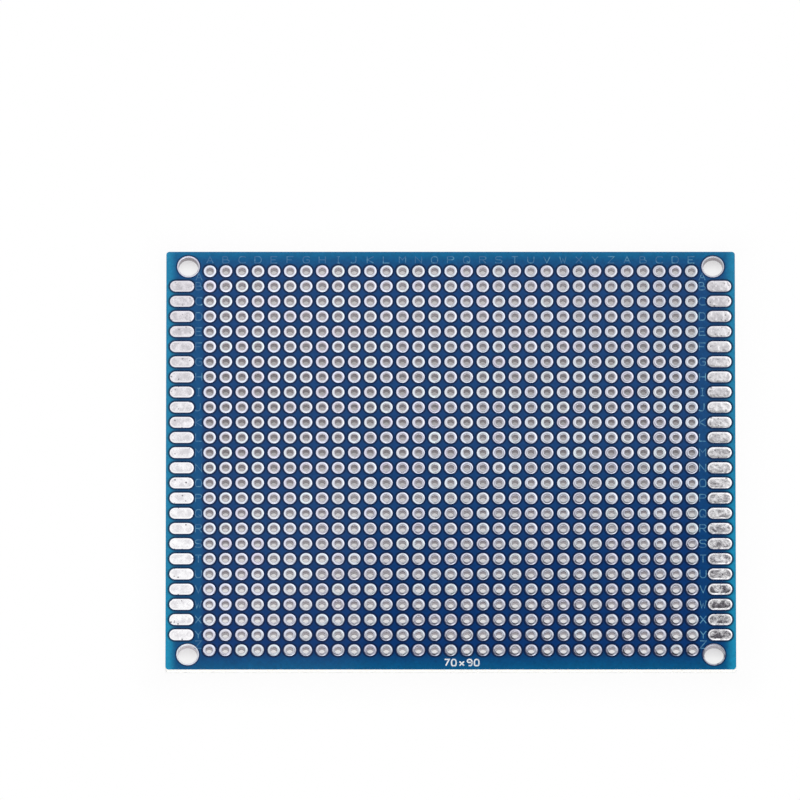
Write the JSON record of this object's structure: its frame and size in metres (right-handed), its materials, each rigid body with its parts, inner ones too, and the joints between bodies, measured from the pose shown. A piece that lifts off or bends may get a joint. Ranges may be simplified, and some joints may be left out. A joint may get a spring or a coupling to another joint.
{
  "type": "prototype board",
  "caption": "Flat drilled circuit board with a grid of plated-through holes, edge pads along both short sides and a mounting hole in each corner.",
  "frame": {"origin": "middle of the underside, at the height of the back pads' crests", "axes": "+X along the rows of holes (the board's long side), +Y towards row A, +Z out of the front face"},
  "size_m": [0.09, 0.07, 0.0016],
  "materials": {
    "laminate": "cut glass-fibre epoxy laminate",
    "solder_mask": "glossy blue solder mask",
    "tinned_copper": "hot-levelled tin, bright and slightly uneven",
    "legend_ink": "thin printed legend"
  },
  "bodies": {
    "root": {"laminate": "laminate", "front_solder_mask": "solder_mask", "back_solder_mask": "solder_mask", "mounting_hole_rings": "tinned_copper", "front_left_edge_pads": "tinned_copper", "front_right_edge_pads": "tinned_copper", "back_left_edge_pads": "tinned_copper", "back_right_edge_pads": "tinned_copper", "plated_holes_row_a": "tinned_copper", "plated_holes_row_b": "tinned_copper", "plated_holes_row_c": "tinned_copper", "plated_holes_row_d": "tinned_copper", "plated_holes_row_e": "tinned_copper", "plated_holes_row_f": "tinned_copper", "plated_holes_row_g": "tinned_copper", "plated_holes_row_h": "tinned_copper", "plated_holes_row_i": "tinned_copper", "plated_holes_row_j": "tinned_copper", "plated_holes_row_k": "tinned_copper", "plated_holes_row_l": "tinned_copper", "plated_holes_row_m": "tinned_copper", "plated_holes_row_n": "tinned_copper", "plated_holes_row_o": "tinned_copper", "plated_holes_row_p": "tinned_copper", "plated_holes_row_q": "tinned_copper", "plated_holes_row_r": "tinned_copper", "plated_holes_row_s": "tinned_copper", "plated_holes_row_t": "tinned_copper", "plated_holes_row_u": "tinned_copper", "plated_holes_row_v": "tinned_copper", "plated_holes_row_w": "tinned_copper", "plated_holes_row_x": "tinned_copper", "plated_holes_row_y": "tinned_copper", "plated_holes_row_z": "tinned_copper"}
  },
  "joints": []
}
